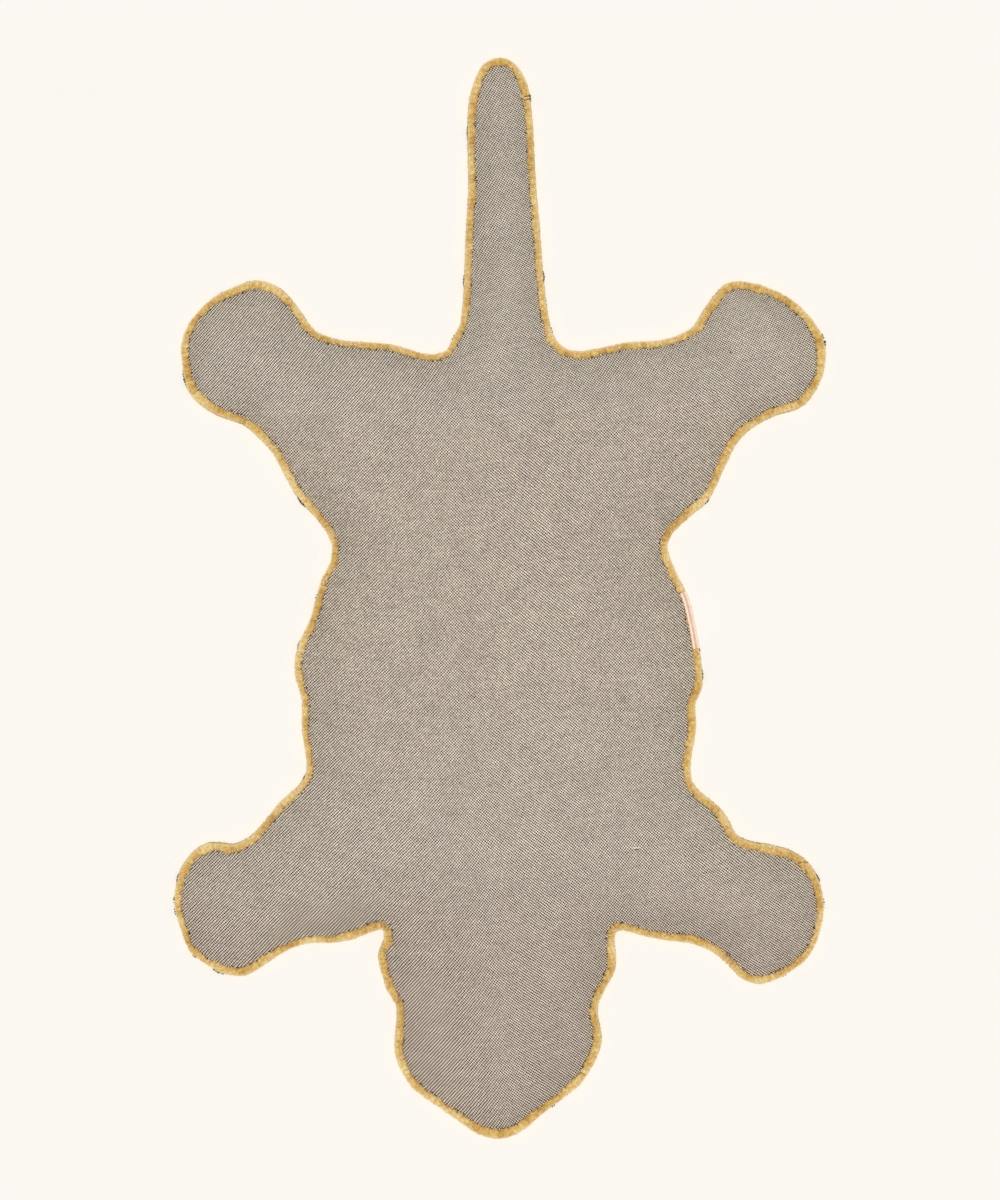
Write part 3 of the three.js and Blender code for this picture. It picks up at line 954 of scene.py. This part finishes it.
def yarn_fuzz():
    """Loose fibres that stand up from the yarn and past the rim."""
    s = random.uniform(0, rim.length, FUZZ_COUNT)
    s = s[under_label(s) < 0.5]
    count = len(s)
    sections = yarn_sections(rim.value(rim.width, s), np.full(count, -0.75 * MM))
    on_rim = random.uniform(0, 1, count) < FUZZ_ON_RIM
    rim_place = random.uniform(*FUZZ_RIM_STEPS, count)
    at = np.where(on_rim, rim_place, random.uniform(*FUZZ_TOP_STEPS, count))
    step = at.astype(int)
    part = (at - step)[:, None]
    rows = np.arange(count)
    root = sections[rows, step] * (1 - part) + sections[rows, step + 1] * part
    tangent = sections[rows, step + 1] - sections[rows, step]
    tangent /= np.linalg.norm(tangent, axis=1)[:, None]
    normal = np.column_stack([tangent[:, 1], -tangent[:, 0]])
    turned = normal[:, 1] * (root[:, 1] - YARN_MIDDLE) < 0
    normal[turned] *= -1
    length = random.uniform(1.2, 3.4, count) * MM
    over = random.normal(0, 0.8, count)
    along = random.normal(0, 0.8, count)
    lift = random.uniform(0.0, 0.2, count) + (at > FUZZ_RIM_STEPS[0]) * 0.25
    share = np.linspace(0, 1, 4)
    grown = root[:, None, :] + length[:, None, None] * (
        tangent[:, None, :] * (over[:, None] * share)[..., None]
        + normal[:, None, :] * (lift[:, None] * np.sin(share * 2.6))[..., None]
    )
    paths = in_space(s[:, None] + (length * along)[:, None] * share, grown)
    radius = FUZZ_RADIUS * np.ones((count, 1)) * np.array([1.0, 0.9, 0.7, 0.35])
    sideways = np.tile((0.3, 0.2, 1.0), (count, 1))
    wool = wool_yarn("fuzz_wool", "fuzz", relief=0.01 * MM)
    own = random.uniform(0.4, 1.1, count)
    return yarn_tubes("yarn_fuzz", wool, own, (paths, sideways, radius, radius, 3))


def yarn_core():
    """The yarn beneath the turns, one closed ring that fills the chinks between them."""
    count = round(rim.length / CORE_STEP)
    s = np.arange(count) * rim.length / count
    width = rim.value(rim.width, s)
    outer = yarn_sections(width, CORE_SINK + under_label(s) * LABEL_SINK)[:, 1:-1]
    outer[:, 0] = np.column_stack([width - 1.2 * MM, np.full(count, CLOTH_TOP + 0.35 * MM)])
    inner = np.array([[3.3 * MM, YARN_LOW + 1.5 * MM], [3.4 * MM, CLOTH_TOP + 0.3 * MM]])
    sections = np.concatenate([outer, np.repeat(inner[None], count, axis=0)], axis=1)
    size = sections.shape[1]
    faces = []
    for i in range(count):
        low, high = i * size, ((i + 1) % count) * size
        faces += [(low + k, high + k, high + (k + 1) % size, low + (k + 1) % size) for k in range(size)]
    vertices = in_space(s, sections).reshape(-1, 3)
    core = add_object("yarn_core", vertices, faces)
    set_points(core, "tone", np.zeros(count * size))
    set_points(core, "ply", np.zeros((count * size, 3)))
    core.data.materials.append(wool_yarn("core_wool", "core"))
    return core


def flank_place(y):
    """The place along the rim where the right flank passes that height on the plan."""
    near = (rim.points[:, 0] > 0) & (np.abs(rim.points[:, 0]) < 0.3)
    gaps = np.where(near, np.abs(rim.points[:, 1] - y), 1)
    return rim.s[np.argmin(gaps)]


def sewn_label():
    """The label's ribbon over the yarn, with soft creases along it."""
    steps, rows = LABEL_STEPS, len(LABEL_SHARES)
    start, end = flank_place(LABEL_BOTTOM_Y + 2 * MM), flank_place(LABEL_TOP_Y + 1.5 * MM)
    s = np.linspace(start, end, steps)
    up = np.linspace(0, 1, steps)
    crease = 0.14 * MM * np.sin(up * 57) + 0.12 * MM * np.sin(up * 23 + 1)
    inner_share = np.interp(up, LABEL_INNER["along"], LABEL_INNER["share"])
    width = rim.value(rim.width, s)
    share, drop = np.array(LABEL_SHARES), np.array(LABEL_DROPS) * MM
    inset = width[:, None] * inner_share[:, None] * share
    layers, ribbon = [], []
    for depth in (0.0, LABEL_THICKNESS):
        height = YARN_TOP - drop[None, :] - depth + crease[:, None]
        lines = np.stack([inset + depth * (1 - share), height], axis=2)
        layers.append(in_space(s, lines).reshape(-1, 3))
        along, across = np.meshgrid(s - s[0], np.linspace(0, LABEL_WIDTH, rows), indexing="ij")
        ribbon.append(np.column_stack([along.ravel(), across.ravel(), np.zeros(steps * rows)]))
    corners = (i * rows + k for i in range(steps - 1) for k in range(rows - 1))
    quads = [(a, a + rows, a + rows + 1, a + 1) for a in corners]
    label = add_object("label", np.vstack(layers), shell(quads, steps * rows))
    set_points(label, "ribbon", np.vstack(ribbon))
    label.data.materials.append(woven_label())
    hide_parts("sewn_label")
    return label


def darkness(points, margin):
    """How dark the pile is at plan points: 1 by the specks, 0 beyond a margin round them."""
    found = np.zeros(len(points))
    for x, y, length, _ in RIM_SPECKS:
        gap = np.linalg.norm(points - (x, y), axis=1)
        half = length * MM / 2
        found = np.maximum(found, 1 - smoothstep(half, half + margin, gap))
    return found


def pile_body():
    """The pile's mass under the cloth, with a tufted face that stands on the floor."""
    insets = [np.full(len(rim.s), inset * MM) for inset in PILE_RINGS]
    points, triangles = sheet_plan(insets, 4 * MM, 4.4 * MM)
    count = len(points)
    # Tufts touch the floor at their tips and part above them.
    _, depth = rim.depth(points)
    lump = plan_noise(points, PILE_LUMPS_IN_METRE, 1.7) * PILE_LUMP
    face = np.clip(PILE_LIFT + lump, 0, PILE_FACE_DEPTH)
    face *= smoothstep(PILE_FACE_FROM, PILE_FACE_TO, depth)
    below = np.column_stack([points, face])
    above = np.column_stack([points, np.full(count, PILE_TOP)])
    faces = [(c, b, a) for a, b, c in triangles]
    faces += [(a + count, b + count, c + count) for a, b, c in triangles]
    border = border_edges(triangles)
    edge = sorted({a for a, _ in border})
    s = rim.depth(points[edge])[0]
    rings = in_space(s, np.tile(np.array(PILE_SIDE) * MM, (len(edge), 1, 1))).reshape(-1, 3)
    size = len(PILE_SIDE)
    column = {a: 2 * count + i * size for i, a in enumerate(edge)}
    for a, b in border:
        left, right = ([end, *range(column[end], column[end] + size), end + count] for end in (a, b))
        for k in range(len(left) - 1):
            faces.append((left[k], right[k], right[k + 1], left[k + 1]))
    vertices = np.vstack([below, above, rings])
    pile = add_object("pile", vertices, faces)
    set_points(pile, "tone", darkness(vertices[:, :2], PILE_DARK_MARGIN))
    pile.data.materials.append(tufted_wool())
    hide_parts("tufted_pile")


def tufts(name, base, tip, radius, shade, wool):
    """Short tufts of yarn from their bases to their tips, fuller in the middle."""
    share = np.array([0.0, 0.4, 0.8, 1.0])
    paths = base[:, None, :] + (tip - base)[:, None, :] * share[None, :, None]
    round_it = radius[:, None] * np.array([0.8, 1.05, 0.9, 0.35])[None, :]
    sideways = np.cross(tip - base, (0.0, 0.0, 1.0))
    finish = wool_yarn(name + "_wool", wool, relief=0.1 * MM)
    return yarn_tubes(name, finish, shade, (paths, sideways, round_it, round_it, 6), twist=0.2)


def rim_tufts():
    """The pile's outermost tufts, in rows under the yarn: mustard, painted paler than the pile as
    painted light on their shaded side, and dark by the specks.
    """
    base, tip, dark = [], [], []
    count = round(rim.length / RIM_TUFT_PITCH)
    for row, (height, outward) in enumerate(RIM_TUFT_ROWS):
        s = (np.arange(count) + 0.5 * (row % 2) + random.normal(0, 0.12, count)) * rim.length / count
        level = np.full(count, height * MM) + random.normal(0, 0.25 * MM, count)
        reach = (outward + random.normal(0, 0.35, count)) * MM
        start = rim.at(s, np.full(count, RIM_TUFT_ROOT))
        end = rim.at(s + random.normal(0, 0.6 * MM, count), -reach)
        base.append(np.column_stack([start, np.clip(level + 0.8 * MM, RIM_TUFT_LOWEST, None)]))
        tip.append(np.column_stack([end, np.clip(level - 0.2 * MM, RIM_TUFT_LOWEST, None)]))
        dark.append(darkness(start, RIM_TUFT_DARK_MARGIN))
    dark = np.concatenate(dark) >= 0.5
    base, tip = np.vstack(base), np.vstack(tip)
    radius = np.full(len(base), RIM_TUFT_RADIUS)
    shade = random.uniform(0.1, 0.9, len(base))
    for wool, rows in (("rim", ~dark), ("dark_rim", dark)):
        tufts(wool + "_tufts", base[rows], tip[rows], radius[rows], shade[rows], wool)


def peeping_tufts():
    """Dark pile yarn that shows past the whipped edge from above."""
    base, tip, radius = [], [], []
    for speck in RIM_SPECKS:
        x, y, length, reach = speck
        over = DEEP_SPECK_OVER if speck is DEEP_SPECK else SPECK_OVER
        count = max(2, round(length * MM / SPECK_TUFT_PITCH))
        s = rim.nearest(x, y) + np.linspace(-0.5, 0.5, count) * (length * MM)
        s += random.normal(0, 0.3 * MM, count)
        taper = 1 - 0.5 * np.abs(np.linspace(-1, 1, count))
        past = (reach * MM + SPECK_MORE) * taper * random.uniform(0.8, 1.1, count)
        lift = (over - SPECK_OVER) * 0.6
        height = YARN_TOP - random.uniform(2.2, 3.4, count) * MM + lift
        start = rim.at(s, np.full(count, over))
        end = rim.at(s + random.normal(0, 0.8 * MM, count), -past)
        base.append(np.column_stack([start, height]))
        tip.append(np.column_stack([end, height - random.uniform(0.5, 2.0, count) * MM]))
        radius.append(random.uniform(0.7, 1.0, count) * MM)
    base, tip, radius = np.vstack(base), np.vstack(tip), np.concatenate(radius)
    shade = random.uniform(0, 1, len(base))
    tufts("peeping_tufts", base, tip, radius, shade, "peeping")


def fibre_bits(rows, height, slot):
    """Bits of fibre, and dark bits of painted shade, that lie half sunk at that height, in a piece for
    each wool.
    """
    made = []
    for wool in sorted({row[0] for row in rows}):
        x, y, length, width, turned = np.array([row[1:] for row in rows if row[0] == wool]).T
        count = len(x)
        middle = np.column_stack([x, y, np.full(count, height)])
        turned = np.radians(turned)
        reach = np.column_stack([np.cos(turned), np.sin(turned), np.zeros(count)])
        reach *= length[:, None] * MM / 2
        radius, shade = width * MM / 2, np.full(count, 0.5)
        name = f"{slot}_{wool}_bits"
        made.append(tufts(name, middle - reach, middle + reach, radius, shade, wool))
    return made


# ---- stage


def stage():
    """A plain pale floor, even soft light, and the camera straight above the rug."""
    bpy.ops.mesh.primitive_plane_add(size=FLOOR_SIZE)
    floor = bpy.context.object
    floor.name = "floor"
    floor.data.materials.append(plain_floor())
    scene = bpy.context.scene
    scene.view_settings.view_transform = "Standard"
    scene.view_settings.look = "None"
    scene.world = bpy.data.worlds.new("studio")
    scene.world.use_nodes = True
    background = scene.world.node_tree.nodes["Background"]
    background.inputs["Color"].default_value = (1.0, 1.0, 1.0, 1)
    background.inputs["Strength"].default_value = SKY_STRENGTH
    lamp = bpy.data.lights.new("softbox", "SUN")
    lamp.energy = SUN_STRENGTH
    lamp.angle = SUN_ANGLE
    key = bpy.data.objects.new("softbox", lamp)
    key.rotation_euler = (SUN_TILT, SUN_TILT, 0)
    scene.collection.objects.link(key)
    camera = bpy.data.cameras.new("camera")
    camera.lens = CAMERA_LENS
    camera.sensor_width = SENSOR
    eye = bpy.data.objects.new("camera", camera)
    distance = VIEW_HEIGHT * CAMERA_LENS / SENSOR
    eye.location = (0, VIEW_SHIFT_Y, CLOTH_TOP + distance)
    scene.collection.objects.link(eye)
    scene.camera = eye


stage()
stitches = sew_stitches()
cloth = backing_cloth(stitches)
yarn_halves = edge_yarn(stitches)
core = yarn_core()
fuzz = yarn_fuzz()
label = sewn_label()
pile_body()
rim_tufts()
peeping_tufts()
bits = fibre_bits(FIBRE_BITS, CLOTH_TOP, "backing")
bits += fibre_bits(KNOT_BITS, YARN_TOP - 0.3 * MM, "whipping")

cloth_area = signed_area(cap_outline("backing_cloth", CLOTH_LOW))
